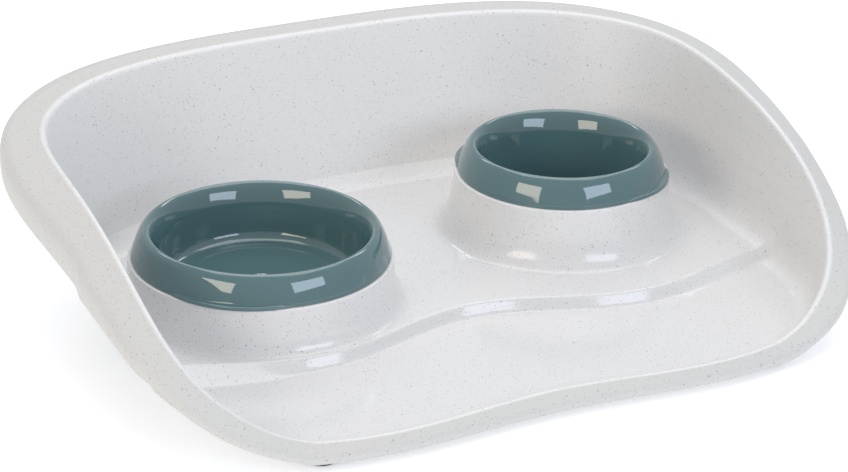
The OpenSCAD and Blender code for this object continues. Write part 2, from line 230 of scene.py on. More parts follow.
class PetBowlBowlSizes(bpy.types.PropertyGroup):
    """Sizes of the bowls and of the pedestals that hold them"""
    bowl_pitch: length("Pitch", 209, "Distance between the bowls' axes along the front")
    bowl_shift: length("Shift", -0.5, "Sideways shift of both bowls")
    large_back: length("Large bowl place", 3, "From the rim's middle back to the large bowl")
    small_back: length("Small bowl place", 23, "From the rim's middle back to the small bowl")
    large_seat_h: length("Large seat", 26.5, "Height of the large bowl's seat above the deck")
    small_seat_h: length("Small seat", 36, "Height of the small bowl's seat above the deck")
    edge_w: length("Pedestal edge", 1.75, "Width of the pedestal's edge that shows round a bowl")
    edge_r: length("Edge rounding", 1.2, "Rounding of the pedestal's edge")
    large_spread: length("Large spread", 9, "Spread of the large pedestal's foot past its bowl")
    small_spread: length("Small spread", 15.5, "Spread of the small pedestal's foot past its bowl")
    collar_h: length("Collar", 6, "Height of the collar that centres a bowl")
    collar_clearance: length("Clearance", 0.7, "Clearance between a collar and its bowl")
    large_r: length("Large rim", 75.5, "Outer radius of the large bowl's rim")
    small_r: length("Small rim", 64, "Outer radius of the small bowl's rim")
    large_depth: length("Large depth", 34, "Inside depth of the large bowl")
    small_depth: length("Small depth", 52, "Inside depth of the small bowl")
    rim_h: length("Rim height", 17, "Height of a bowl's rim")
    rim_w: length("Rim width", 15.5, "Width of a bowl's rim, to its rounding's inner end")
    band_h: length("Band", 1.5, "Height of the upright band along the rim's lower edge")
    slope_w: length("Slope width", 1.5, "Width of the rim's outer slope")
    slope_h: length("Slope height", 6, "Height where the outer slope starts to round over")
    lip_drop: length("Lip fall", 11, "Fall from the rim's top to its rounding's inner end")
    shell_t: length("Shell", 2.5, "Wall thickness of a bowl")
    large_taper: length("Large taper", 3, "How far the large bowl narrows to its floor")
    small_taper: length("Small taper", 8, "How far the small bowl narrows to its floor")
    floor_fillet: length("Floor fillet", 7, "Fillet between a bowl's wall and its floor")
    tab_out: length("Tab reach", 3.5, "How far a finger tab stands out of the rim")
    tab_t: length("Tab thickness", 2.4, "Thickness of a finger tab")


class PetBowlFootSizes(bpy.types.PropertyGroup):
    """Sizes of the feet and their holders"""
    foot_r: length("Foot radius", 9, "Radius of a rubber foot")
    foot_h: length("Foot height", 5, "Height of a rubber foot")
    foot_proud: length("Foot reach", 2.5, "How far a foot stands out of its holder")
    ring_t: length("Holder wall", 1.8, "Wall of the ring that holds a foot")
    clearance: length("Clearance", 0.1, "Clearance round a foot in its ring")
    from_side: length("Spread", 73, "From the rim's side edges to the feet")
    from_front: length("Front feet", 10, "From the rim's front edge to the front feet")
    from_back: length("Back feet", 66, "From the rim's back edge to the back feet")


class PetBowlColours(bpy.types.PropertyGroup):
    """Colours of the plastics, the rubber and the floor"""
    tray: colour("Tray", "#DAD9D8", "Off-white of the tray's plastic")
    # The rim colour is painted shade: a darker copy of the tray's off-white for the shade on the
    # rim, not a greyer plastic
    rim: colour("Rim", "#C4C3C0", "Greyer off-white of the tray's satin rim")
    fleck: colour("Fleck", "#66615E", "Grey of the flecks in the tray")
    bowl: colour("Bowls", "#506E71", "Slate green of the bowls")
    foot: colour("Feet", "#1E1E20", "Black of the rubber feet")
    floor: colour("Floor", "#F4F5F7", "Plain pale floor")


def in_mm(group):
    """The lengths of a property group in millimetres, by name."""
    return SimpleNamespace(**{key: getattr(group, key) / MM for key in group.__annotations__})


def ease(v, a, b):
    """Smooth step from 0 at a to 1 at b."""
    t = np.clip((v - a) / (b - a), 0, 1)
    return t * t * (3 - 2 * t)


def unit(v):
    """Direction of each vector, with length 1."""
    return v / np.linalg.norm(v, axis=-1, keepdims=True)


def beside(u, t):
    """Shift by t to the right of the direction u."""
    return t * np.stack([u[..., 1], -u[..., 0]], -1)


def crossing(p, u, q, v):
    """Point where the line through p along u crosses the line through q along v."""
    d = q - p
    turn = u[..., 0] * v[..., 1] - u[..., 1] * v[..., 0]
    share = (d[..., 0] * v[..., 1] - d[..., 1] * v[..., 0]) / turn
    return p + u * share[..., None]


def curve(a, b, c, steps):
    """Quadratic curve from a to c drawn towards b, as rows of points."""
    t = np.linspace(0, 1, steps + 1).reshape((-1,) + (1,) * a.ndim)
    return (1 - t) ** 2 * a + 2 * t * (1 - t) * b + t * t * c


def along(t, y, front, side, back, shares):
    """A size that goes from its front value to its side value to its back value."""
    s = y / (t.rim_d / 2)
    return (front + (side - front) * ease(s, shares[0], shares[1])
            + (back - side) * ease(s, shares[2], shares[3]))


def wave(t, x):
    """The cosine that front edge and step share, one turn from bowl to bowl."""
    return np.cos(2 * np.pi * x / t.bowl_pitch)


def step_line(t, x):
    """The step's top edge from above."""
    return t.step_wave * wave(t, x) - t.step_forward


def rim_xy(t, a):
    """The rim's inner edge from above at angle a: a superellipse, squarer at the front,
    whose front waves in and out."""
    c, s = np.cos(np.radians(a)), np.sin(np.radians(a))
    power = BACK_CORNER + (FRONT_CORNER - BACK_CORNER) * ease(-s, *CORNER_SPAN)
    reach = ((abs(c) * 2 / t.rim_w) ** power + (abs(s) * 2 / t.rim_d) ** power) ** (-1 / power)
    x = reach * c
    return np.stack([x, reach * s + t.front_wave * wave(t, x) * ease(-s, *WAVE_SPAN)], -1)


def rim_z(t, y):
    """The rim's height: an exponential climb from front to back that levels out."""
    s = np.maximum(0, (y - RISE_START * t.rim_d / 2) / t.rim_rise_len)
    return t.rim_front_z + (t.rim_back_z - t.rim_front_z) * (1 - np.exp(-s ** RISE_POWER))


def outward(t, a):
    """Direction away from the rim at angle a, across its inner edge."""
    return beside(unit(rim_xy(t, a + 1) - rim_xy(t, a - 1)), 1)


def floor_height(t, p):
    """Height of the floor at a place: flat, a ramp along the wavy step line, and flat again.
    The difference of two hyperbolas rounds the ramp's foot and top. The ramp runs out wider
    and softer at its two ends."""
    x = p[..., 0]
    d = p[..., 1] - step_line(t, x)
    left, right = ease(-x, *STEP_ENDS), ease(x, *STEP_ENDS)
    run = t.step_run * (1 + END_RUN[0] * left + END_RUN[1] * right)
    foot_r = STEP_FOOT_R + END_FOOT_R[0] * left + END_FOOT_R[1] * right
    ramp = (np.hypot(d + run, foot_r) - np.hypot(d, STEP_TOP_R) + run) / (2 * run)
    return t.floor_z + t.step_h * np.clip(ramp, 0, 1)


def foot_place(t, a):
    """Lean and fillet run of the wall at angle a."""
    y = rim_xy(t, a)[..., 1]
    lean = along(t, y, t.lean_front, t.lean_side, t.lean_back, LEAN_SHARES)
    fillet = along(t, y, t.side_fillet, t.side_fillet, t.back_fillet, LEAN_SHARES)
    return lean, np.minimum(fillet, FILLET_SHARE * np.hypot(lean, rim_z(t, y) - t.floor_z))


def floor_edge(t, a):
    """Where the floor meets the wall's fillet, from above."""
    lean, fillet = foot_place(t, a)
    return rim_xy(t, a) - (lean + fillet)[..., None] * outward(t, a)


def stations(t):
    """Angles round the rim, evenly spaced along its front, sides and back, with one row for
    each line of the step. The left half mirrors the right."""
    def spaced(start, end, steps):
        """Angles that part the floor's edge into equal lengths."""
        dense = np.linspace(start, end, 600)
        run = np.r_[0, np.cumsum(np.linalg.norm(np.diff(floor_edge(t, dense), axis=0), axis=1))]
        return np.interp(np.linspace(0, run[-1], steps + 1), run, dense)

    dense = np.linspace(-CORNER_ANGLE, CORNER_ANGLE / 2, 4000)
    place = floor_edge(t, dense)
    band = np.interp(BAND_OFFSETS, place[:, 1] - step_line(t, place[:, 0]), dense)
    right = np.r_[spaced(-CORNER_ANGLE, band[0], SIDE_STEPS[0]), band[1:-1],
                  spaced(band[-1], CORNER_ANGLE, SIDE_STEPS[1])]
    front = spaced(CORNER_ANGLE - 180, -CORNER_ANGLE, FRONT_STEPS)
    back = spaced(CORNER_ANGLE, 180 - CORNER_ANGLE, FRONT_STEPS)
    return np.r_[front[:-1], right[:-1], back[:-1], 180 - right[:0:-1]]


def section(t, a):
    """Section of wall, flange and skirt at each angle, as rows of (outward, up): up the seen
    face from the floor to the skirt's hem, then back along the hidden face. Fillets and
    edges are quadratic curves."""
    p = rim_xy(t, a)
    y = p[:, 1]
    lean, fillet = foot_place(t, a)
    base = floor_height(t, floor_edge(t, a))
    zero = np.zeros_like(y)
    across = np.stack([zero + 1, zero], -1)
    upright = np.stack([zero, zero + 1], -1)
    from_grip = abs(y - t.grip_from_front + t.rim_d / 2) / t.grip_len
    bulge = t.grip_out * (1 - ease(from_grip, 0.5 - GRIP_FADE, 0.5 + GRIP_FADE))
    bulge = np.where(abs(p[:, 0]) < GRIP_SIDE * t.rim_w / 2, 0, bulge)
    bulge *= np.where(p[:, 0] > 0, RIGHT_GRIP, 1)
    width = along(t, y, t.flange_front_w, t.flange_corner_w, t.flange_back_w, FLANGE_SHARES) + bulge
    drop = along(t, y, t.flange_front_drop, t.flange_side_drop, t.flange_back_drop, DROP_SHARES)
    front_h = t.rim_front_z - t.flange_front_drop - t.skirt_gap
    skirt = along(t, y, front_h, t.skirt_side_h, t.skirt_back_h, SKIRT_SHARES)
    foot = np.stack([-lean, base], -1)
    crease = np.stack([zero, rim_z(t, y)], -1)
    edge = crease + np.stack([width, -drop], -1)
    hem = np.stack([edge[:, 0], np.maximum(t.skirt_gap, edge[:, 1] - skirt)], -1)
    up, out = unit(crease - foot), unit(edge - crease)
    f = fillet[:, None]
    c = np.minimum(t.crease_r, FILLET_SHARE * np.linalg.norm(crease - foot, axis=-1))[:, None]
    back = ease(y / t.rim_d * 2, *BACK_SPAN)
    hidden_foot = crossing(foot - t.wall_t * upright, across, foot + beside(up, t.wall_t), up)
    hidden_crease = crossing(foot + beside(up, t.wall_t), up, crease + beside(out, t.wall_t), out)
    hidden_edge = crossing(crease + beside(out, t.wall_t), out, edge - t.wall_t * across, upright)
    hidden_len = np.linalg.norm(hidden_crease - hidden_foot, axis=-1)
    g = np.minimum(f, FILLET_SHARE * hidden_len[:, None])
    turn = crease + FLAT_SHARE * (edge - crease)
    flat = np.linspace(crease + c * out, turn, FLANGE_POINTS + 2)[1:-1]
    # The beads are bell curves over the flange's width
    share = np.linspace(0, 1, FLANGE_POINTS + 2)[1:-1, None]
    beads = sum(np.exp(-((share - place) / BEAD_W) ** 2) for place in BEAD_PLACES)
    flat[..., 1] += t.bead_h * beads * back
    hem_in = hem - t.wall_t * across
    bend = HIDDEN_BEND * t.wall_t
    # The fillet, drawn flatter at the back, where two fine lines bound it
    start, end = foot - f * across, foot + f * up
    flatter = BACK_FLATNESS * back[:, None]
    rows = [(1 - flatter) * curve(start, foot, end, FILLET_STEPS)
            + flatter * np.linspace(start, end, FILLET_STEPS + 1),
            np.linspace(end, crease - c * up, WALL_POINTS + 2)[1:-1],
            curve(crease - c * up, crease, crease + c * out, CREASE_STEPS), flat,
            curve(turn, edge, (edge + hem) / 2, 10),
            curve(hem + bend * upright, hem, hem - bend * across, 3),
            curve(hem_in + bend * across, hem_in, hem_in + bend * upright, 3),
            curve(hidden_edge - 2 * bend * upright, hidden_edge, hidden_edge - 2 * bend * out, 3),
            curve(hidden_crease + bend * out, hidden_crease, hidden_crease - bend * up, 3),
            curve(hidden_foot + g * up, hidden_foot, hidden_foot - g * across, 8)]
    return np.concatenate(rows)


def satin_rows(count):
    """Satin share of each row of the section, counted from the crease: it grows along the
    fillet to the wall's, and past the crease to the flange's. The crease itself is a little
    polished."""
    row = np.arange(count)[:, None] - CREASE_ROW
    polished = ease(row, 0, 2) * (1 - ease(row, 4, 6))
    satin = WALL_SATIN * ease(row, -19, -9) + (1 - WALL_SATIN) * ease(row, 2, 7)
    return satin * (1 - CREASE_POLISH * polished)


def patch(bottom, top, left, right):
    """Surface between four edges: the blend of both pairs less the blend of the corners."""
    u = np.linspace(0, 1, len(bottom))[None, :, None]
    v = np.linspace(0, 1, len(left))[:, None, None]
    corners = ((1 - u) * ((1 - v) * bottom[0] + v * top[0])
               + u * ((1 - v) * bottom[-1] + v * top[-1]))
    return (1 - v) * bottom + v * top + (1 - u) * left[:, None] + u * right[:, None] - corners


def floor_rows(t, edge, under):
    """The floor inside its edge, in rows that run along the step: a patch in front, one row
    for each line of the step, and a patch behind."""
    across, side = FRONT_STEPS, sum(SIDE_STEPS) + len(BAND_OFFSETS) - 1
    bottom, right = edge[:across + 1], edge[across:across + side + 1]
    top = edge[across + side:2 * across + side + 1][::-1]
    left = np.concatenate([edge[2 * across + side:], edge[:1]])[::-1]
    ends = slice(SIDE_STEPS[0], SIDE_STEPS[0] + len(BAND_OFFSETS))
    u = np.linspace(0, 1, across + 1)
    x = np.outer(1 - u, left[ends, 0]) + np.outer(u, right[ends, 0])
    off = (np.outer(1 - u, left[ends, 1] - step_line(t, left[ends, 0]))
           + np.outer(u, right[ends, 1] - step_line(t, right[ends, 0])))
    band = np.stack([x, step_line(t, x) + off], -1).transpose(1, 0, 2)
    front = patch(bottom, band[0], left[:ends.start + 1], right[:ends.start + 1])
    back = patch(band[-1], top, left[ends.stop - 1:], right[ends.stop - 1:])
    p = np.concatenate([front[:-1], band, back[1:]])
    return np.concatenate([p, floor_height(t, p)[..., None] - under], -1)


def revolve(outline, x, y, steps=ROUND_STEPS):
    """Surface of revolution: an outline of (radius, height), the same or one for each
    angle, turned about the upright line through x, y."""
    a = np.linspace(0, 2 * np.pi, steps, endpoint=False)[:, None]
    r, z = outline[..., 0] + 0 * a, outline[..., 1] + 0 * a
    return np.stack([x + r * np.cos(a), y + r * np.sin(a), z], -1)


def grid_faces(rows, cols, wrap_rows, wrap_cols):
    """Quads of a grid of points, joined to its start where a side wraps."""
    i, j = np.meshgrid(np.arange(rows - (not wrap_rows)), np.arange(cols - (not wrap_cols)),
                       indexing="ij")
    k, l = (i + 1) % rows, (j + 1) % cols
    return np.stack([i * cols + j, i * cols + l, k * cols + l, k * cols + j], -1).reshape(-1, 4)


def surface(name, grids, sharp=SHARP_ANGLE):
    """An object from grids of points in the rim's frame, each with its wraps and with its
    satin share, from 0 on polished faces to 1 on satin ones."""
    points, faces, satin, start = [], [], [], 0
    for grid, wrap_rows, wrap_cols, share in grids:
        faces.append(grid_faces(*grid.shape[:2], wrap_rows, wrap_cols) + start)
        points.append(grid.reshape(-1, 3))
        satin.append((share + np.zeros(grid.shape[:2])).ravel())
        start += len(points[-1])
    points = (np.concatenate(points) - (0, CENTRE_Y, 0)) * MM
    mesh = bpy.data.meshes.new(name)
    mesh.from_pydata(points, [], np.concatenate(faces).tolist())
    mesh.attributes.new("satin", "FLOAT", "POINT").data.foreach_set("value", np.concatenate(satin))
    work = bmesh.new()
    work.from_mesh(mesh)
    bmesh.ops.remove_doubles(work, verts=work.verts, dist=MERGE_DISTANCE)
    bmesh.ops.recalc_face_normals(work, faces=work.faces)
    work.to_mesh(mesh)
    work.free()
    mesh.shade_smooth()
    mesh.set_sharp_from_angle(angle=np.radians(sharp))
    piece = bpy.data.objects.new(name, mesh)
    bpy.context.scene.collection.objects.link(piece)
    return piece


def cut(piece, cutters):
    """Cuts the cutters out of a piece, and removes them."""
    for cutter in cutters:
        hole = piece.modifiers.new(cutter.name, "BOOLEAN")
        hole.object, hole.solver = cutter, "EXACT"
    solid = piece.evaluated_get(bpy.context.evaluated_depsgraph_get())
    mesh = bpy.data.meshes.new_from_object(solid)
    piece.modifiers.clear()
    piece.data = mesh
    mesh.set_sharp_from_angle(angle=np.radians(SHARP_ANGLE))
    for cutter in cutters:
        bpy.data.objects.remove(cutter)


def join(pieces, name):
    """One object from several closed shells of one moulding."""
    work = bmesh.new()
    for piece in pieces:
        work.from_mesh(piece.data)
        bpy.data.objects.remove(piece)
    mesh = bpy.data.meshes.new(name)
    work.to_mesh(mesh)
    work.free()
    joined = bpy.data.objects.new(name, mesh)
    bpy.context.scene.collection.objects.link(joined)
    return joined


def finish(piece, body, nodes, finish_name):
    """Rides the piece on its body, in place of its nodes, and gives it its finish."""
    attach(piece, body)
    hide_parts(*nodes)
    piece.data.materials.clear()
    piece.data.materials.append(bpy.data.materials[finish_name])


def bowl_places(b, t):
    """Axis, rim radius, seat height and pedestal spread of both bowls."""
    deck = t.floor_z + t.step_h
    return ((b.bowl_shift - b.bowl_pitch / 2, b.large_back, b.large_r,
             deck + b.large_seat_h, b.large_spread),
            (b.bowl_shift + b.bowl_pitch / 2, b.small_back, b.small_r,
             deck + b.small_seat_h, b.small_spread))


def foot_places(g, t):
    """Name and place of each foot, and the height of the moulding's top above it."""
    x = t.rim_w / 2 - g.from_side
    ends = (("front", g.from_front - t.rim_d / 2, t.floor_z),
            ("back", t.rim_d / 2 - g.from_back, t.floor_z + t.step_h))
    return [(f"foot_{end}_{side}", sign * x, y, top)
            for side, sign in (("left", -1), ("right", 1)) for end, y, top in ends]


def slope_side(b, r):
    """Start and direction of a bowl's outer slope, and a point of its hidden side."""
    side = np.array([r, b.band_h])
    slope = unit(np.array([-b.slope_w, b.slope_h - b.band_h]))
    return side, slope, side - beside(slope, b.shell_t)


def rounded(points, radii, steps=5):
    """Closed outline through points, each corner drawn as a quadratic curve that starts and
    ends its radius away."""
    points = np.array(points, float)
    rows = []
    befores, afters = np.roll(points, 1, 0), np.roll(points, -1, 0)
    for before, point, after, r in zip(befores, points, afters, radii):
        if r:
            start, end = point + r * unit(before - point), point + r * unit(after - point)
            rows.append(curve(start, point, end, steps))
        else:
            rows.append(point[None])
    return np.concatenate(rows)


def pedestal_outline(b, r, seat, spread, deck, wall):
    """Section of a pedestal: the wall, one quadratic curve that flares out to meet the deck,
    a rounded edge, the bowl's seat, the collar, and back down inside. Its foot lies just
    under the deck, and a short lap under the deck joins the two."""
    across, upright = np.array([1.0, 0]), np.array([0, 1.0])
    foot = np.array([r + spread, deck - PEDESTAL_SINK])
    edge = np.array([r + b.edge_w, seat])
    edge_low, edge_in = edge - b.edge_r * upright, edge - b.edge_r * across
    bend = np.array([edge[0] + DRAFT_SHARE * (foot[0] - edge[0]), foot[1]])
    under = -wall * across - (wall + PEDESTAL_LAP) * upright
    _, slope, side = slope_side(b, r)
    collar = crossing(side, slope, b.collar_h * upright, across)[0] - b.collar_clearance
    inner, outer = collar - wall, foot[0] + wall / 3
    rim = rounded([edge, [collar, seat], [collar, seat + b.collar_h], [inner, seat + b.collar_h],
                   [inner, seat - wall]], COLLAR_ROUNDS)
    return np.concatenate([curve(foot, bend, edge_low, 30),
                           curve(edge_low, edge, edge_in, 5)[1:], rim[1:],
                           curve(edge - wall, bend + under, foot + under, 16),
                           [[outer, foot[1] + under[1]], [outer, deck - wall / 2]]])


def tab_reach(b, r, turn, tab_angle):
    """The rim's radius at each angle of turn. The two tabs, opposite each other, are the
    crescents of shifted discs that stand out of the rim."""
    span = 1 - np.cos(TAB_HALF_ANGLE)
    shift = b.tab_out * (2 * r + b.tab_out) / (2 * (r * span + b.tab_out))
    disc = r + b.tab_out - shift
    away = np.abs((turn - tab_angle + np.pi / 2) % np.pi - np.pi / 2)
    chord = np.sqrt(np.maximum(0, disc ** 2 - (shift * np.sin(away)) ** 2))
    return np.maximum(r, shift * np.cos(away) + chord)


def band_rows(b, r, slope, tab):
    """The rim's lower edge at each angle, from its hidden side up to the outer slope, as
    rounded rows of (radius, height). On a tab the rows run out over its edge and back along
    its upper side, and elsewhere they close up to a plain band. Their roundings are given
    in millimetres and in shares of the tab's thickness."""
    def on_slope(z):
        """Radius of the outer slope at a height."""
        return r + slope[0] * (z - b.band_h) / slope[1]

    high = b.tab_t
    ledge = on_slope(high)
    grow = np.clip((tab - r) / TAB_GROWN, 0, 1)
    plain = 1 - grow
    rows = [(r - b.shell_t, 0), (tab - 0.7, 0), (tab - 0.25, 0.06), (tab - 0.03, 0.25),
            (tab, 0.5 * high),
            (tab - 0.05 * grow, (0.5 + 0.32 * grow) * high),
            (tab - 0.28 * grow - 0.02, (0.5 + 0.44 * grow) * high),
            (tab - 0.7 * grow - 0.05, (0.52 + 0.48 * grow) * high),
            (ledge + 0.55 * (tab - 0.7 - ledge) * grow, (0.56 + 0.42 * grow) * high + 0.1 * plain),
            (ledge + 0.16 * grow + 0.12 * plain, high * (0.98 - 0.14 * plain)),
            (ledge, high + 0.14 * grow),
            (on_slope(high + 0.8), high + 0.8)]
    return np.stack([np.stack([x + 0 * tab, z + 0 * tab], -1) for x, z in rows], 1)


def bowl_outline(b, r, depth, taper, turn, tab_angle, floor_marks):
    """Section of a bowl at each angle of turn: tab or plain band, outer slope, rounded top,
    inner wall, fillet and floor, then the hidden face. The top is one quadratic curve, and
    the floor's marks are bell curves of its radius."""
    side, slope, hidden = slope_side(b, r)
    band = band_rows(b, r, slope, tab_reach(b, r, turn, tab_angle))
    top = np.array([r - b.slope_w, b.slope_h])
    lip = np.array([r - b.rim_w, b.rim_h - b.lip_drop])
    apex_h = b.rim_h + np.sqrt((b.rim_h - b.slope_h) * b.lip_drop)
    apex = side + slope * (apex_h - b.band_h) / slope[1]
    corner = np.array([lip[0] - taper, b.rim_h - depth])
    down = unit(corner - lip)
    f = b.floor_fillet
    across, upright = np.array([1.0, 0]), np.array([0, 1.0])
    inward = unit(lip - apex)
    crown_end, wall_top = lip - LIP_ROUND * inward, lip + LIP_ROUND * down
    crown = curve(top, apex, crown_end, 30)
    lip_turn = curve(crown_end, lip, wall_top, 4)
    wall = np.linspace(wall_top, corner - f * down, 8)[1:-1]
    fillet = curve(corner - f * down, corner, corner - f * across, 10)
    radius = np.r_[np.linspace(corner[0] - f, INNER_R, 60), 0]
    height = corner[1] + sum(h * np.exp(-((radius - place) / w) ** 2)
                             for place, w, h in floor_marks)
    height = np.where(radius == 0, height[-2], height)
    base = np.stack([radius, height], -1)
    under = corner - b.shell_t * upright
    hidden_wall = lip - beside(down, b.shell_t)
    hidden_corner = crossing(hidden_wall, down, under, across)
    hidden_crown = lip - beside(inward, b.shell_t)
    hidden_lip = crossing(hidden_wall, down, hidden_crown, inward)
    hidden_apex = crossing(hidden, slope, hidden_crown, inward)
    band_in = crossing(hidden, slope, np.array([r - b.shell_t, 0]), upright)
    back = [np.array([[0, under[1]], [INNER_R, under[1]]]),
            curve(hidden_corner - f * across, hidden_corner, hidden_corner - f * down, 8),
            curve(hidden_lip, hidden_apex, top - beside(slope, b.shell_t), 16), band_in[None]]
    rest = np.concatenate([crown, lip_turn[1:], wall, fillet, base[1:]] + back)
    return np.concatenate([band, np.broadcast_to(rest, (len(turn),) + rest.shape)], 1)


def add(tree, kind, inputs=None, **settings):
    """Adds a node with its settings and its inputs, each a value or another's output."""
    item = tree.nodes.new(kind)
    for name, value in settings.items():
        setattr(item, name, value)
    for key, value in (inputs or {}).items():
        if isinstance(value, bpy.types.NodeSocket):
            tree.links.new(value, item.inputs[key])
        else:
            item.inputs[key].default_value = value
    return item


def shade(rgba, share):
    """A colour darkened to a share of itself."""
    return [share * v for v in rgba[:3]] + [1]


def new_finish(name):
    """An empty material with its shader, its tree and the piece's own coordinates."""
    material = bpy.data.materials.new(name)
    material.use_nodes = True
    tree = material.node_tree
    place = add(tree, "ShaderNodeTexCoord").outputs["Object"]
    return tree, tree.nodes["Principled BSDF"], place


def speckled_plastic(colours):
    """Injection-moulded speckled ABS: grey flecks of mixed size lie in an off-white body,
    polished in the basin and satin on the rim, where a fine moulded grain breaks up the
    reflections."""
    tree, shader, place = new_finish("speckled_abs_moulded")
    # Soft cloudiness of the pigment, about 60 mm across
    cloud = add(tree, "ShaderNodeTexNoise",
                {"Vector": place, "Scale": 1 / (60 * MM), "Detail": 3.0}).outputs["Fac"]
    tint = add(tree, "ShaderNodeMix", {FACTOR: cloud, MIX_A: colours.tray,
                                       MIX_B: shade(colours.tray, 0.955)},
               data_type="RGBA").outputs[MIXED]
    # Painted shade: past the wall's satin the rim is darkened towards the rim colour, standing in
    # for shade on the rim and not for a greyer plastic
    satin = add(tree, "ShaderNodeAttribute", attribute_name="satin").outputs["Fac"]
    rim_painted_shade = add(tree, "ShaderNodeMapRange", {"Value": satin, "From Min": WALL_SATIN,
                                              "From Max": 1.0}).outputs["Result"]
    tint = add(tree, "ShaderNodeMix", {FACTOR: rim_painted_shade, MIX_A: tint, MIX_B: colours.rim},
               data_type="RGBA").outputs[MIXED]
    # Each cell draws its own size of fleck by its random colour, or has none
    for spacing, radius, share, depth in FLECKS:
        cells = add(tree, "ShaderNodeTexVoronoi", {"Vector": place, "Scale": 1 / (spacing * MM)})
        pick = add(tree, "ShaderNodeSeparateColor", {"Color": cells.outputs["Color"]})
        size = add(tree, "ShaderNodeMapRange",
                   {"Value": pick.outputs["Red"], "From Min": 1 - share, "From Max": 1.0,
                    "To Min": 0.0, "To Max": radius / spacing}).outputs["Result"]
        core = add(tree, "ShaderNodeMath", {0: size, 1: FLECK_CORE},
                   operation="MULTIPLY").outputs["Value"]
        spot = add(tree, "ShaderNodeMapRange",
                   {"Value": cells.outputs["Distance"], "From Min": size, "From Max": core,
                    "To Min": 0.0, "To Max": depth}).outputs["Result"]
        tint = add(tree, "ShaderNodeMix", {FACTOR: spot, MIX_A: tint, MIX_B: colours.fleck},
                   data_type="RGBA").outputs[MIXED]
    # Moulded grain, 1.2 mm apart and 0.2 mm deep at full strength, and the roughness
    grain = add(tree, "ShaderNodeTexNoise",
                {"Vector": place, "Scale": 1 / (1.2 * MM), "Detail": 2.0})
    rough = add(tree, "ShaderNodeMapRange", {"Value": satin, "To Min": TRAY_ROUGHNESS[0],
                                             "To Max": TRAY_ROUGHNESS[1]})
    vary = add(tree, "ShaderNodeMath", {0: cloud, 1: 0.06, 2: rough.outputs["Result"]},
               operation="MULTIPLY_ADD")
    level = add(tree, "ShaderNodeMapRange", {"Value": satin, "To Min": TRAY_GRAIN[0],
                                             "To Max": TRAY_GRAIN[1]})
    bump = add(tree, "ShaderNodeBump", {"Height": grain.outputs["Fac"],
                                        "Strength": level.outputs["Result"],
                                        "Distance": 0.2 * MM})
    tree.links.new(tint, shader.inputs["Base Color"])
    tree.links.new(vary.outputs["Value"], shader.inputs["Roughness"])
    tree.links.new(bump.outputs["Normal"], shader.inputs["Normal"])
    shader.inputs["IOR"].default_value = ABS_IOR


def gloss_plastic(colours):
    """Injection-moulded gloss ABS, coloured through: deep even colour under a near-mirror
    skin with the slow ripple of a moulding."""
    tree, shader, place = new_finish("gloss_abs_moulded")
    # Soft cloudiness of the pigment, about 50 mm across
    cloud = add(tree, "ShaderNodeTexNoise",
                {"Vector": place, "Scale": 1 / (50 * MM), "Detail": 3.0})
    tint = add(tree, "ShaderNodeMix", {FACTOR: cloud.outputs["Fac"], MIX_A: colours.bowl,
                                       MIX_B: shade(colours.bowl, 0.9)}, data_type="RGBA")
    # Fine rub marks of use, about 4 mm apart, dull the gloss a little
    rub = add(tree, "ShaderNodeTexNoise", {"Vector": place, "Scale": 1 / (4 * MM), "Detail": 4.0})
    rough = add(tree, "ShaderNodeMapRange", {"Value": rub.outputs["Fac"],
                                             "To Min": BOWL_ROUGHNESS[0],
                                             "To Max": BOWL_ROUGHNESS[1]})
    # The moulding's ripple, about 18 mm across
    ripple = add(tree, "ShaderNodeTexNoise",
                 {"Vector": place, "Scale": 1 / (18 * MM), "Detail": 1.0})
    bump = add(tree, "ShaderNodeBump", {"Height": ripple.outputs["Fac"], "Strength": 0.06,
                                        "Distance": 0.6 * MM})
    tree.links.new(tint.outputs[MIXED], shader.inputs["Base Color"])
    tree.links.new(rough.outputs["Result"], shader.inputs["Roughness"])
    tree.links.new(bump.outputs["Normal"], shader.inputs["Normal"])
    shader.inputs["IOR"].default_value = ABS_IOR
    shader.inputs["Coat Weight"].default_value = 0.6


def rubber(colours):
    """Moulded nitrile rubber: dull black with a fine pitted skin, greyed where dust sits."""
    tree, shader, place = new_finish("nitrile_rubber_moulded")
    # Dust in patches of about 6 mm
    dust = add(tree, "ShaderNodeTexNoise", {"Vector": place, "Scale": 1 / (6 * MM), "Detail": 5.0})
    tint = add(tree, "ShaderNodeMix", {FACTOR: dust.outputs["Fac"], MIX_A: colours.foot,
                                       MIX_B: DUSTY}, data_type="RGBA")
    # Pits 0.5 mm apart
    pits = add(tree, "ShaderNodeTexNoise",
               {"Vector": place, "Scale": 1 / (0.5 * MM), "Detail": 2.0})
    bump = add(tree, "ShaderNodeBump", {"Height": pits.outputs["Fac"], "Strength": 0.3,
                                        "Distance": 0.2 * MM})
    tree.links.new(tint.outputs[MIXED], shader.inputs["Base Color"])
    tree.links.new(bump.outputs["Normal"], shader.inputs["Normal"])
    shader.inputs["Roughness"].default_value = 0.7


class PETBOWL_OT_finishes(bpy.types.Operator):
    """Makes the plastics of tray and bowls and the rubber of the feet"""
    bl_idname = "petbowl.finishes"
    bl_label = "Make Finishes"

    def execute(self, context):
        colours = context.scene.pet_bowl_colours
        speckled_plastic(colours)
        gloss_plastic(colours)
        rubber(colours)
        return {"FINISHED"}


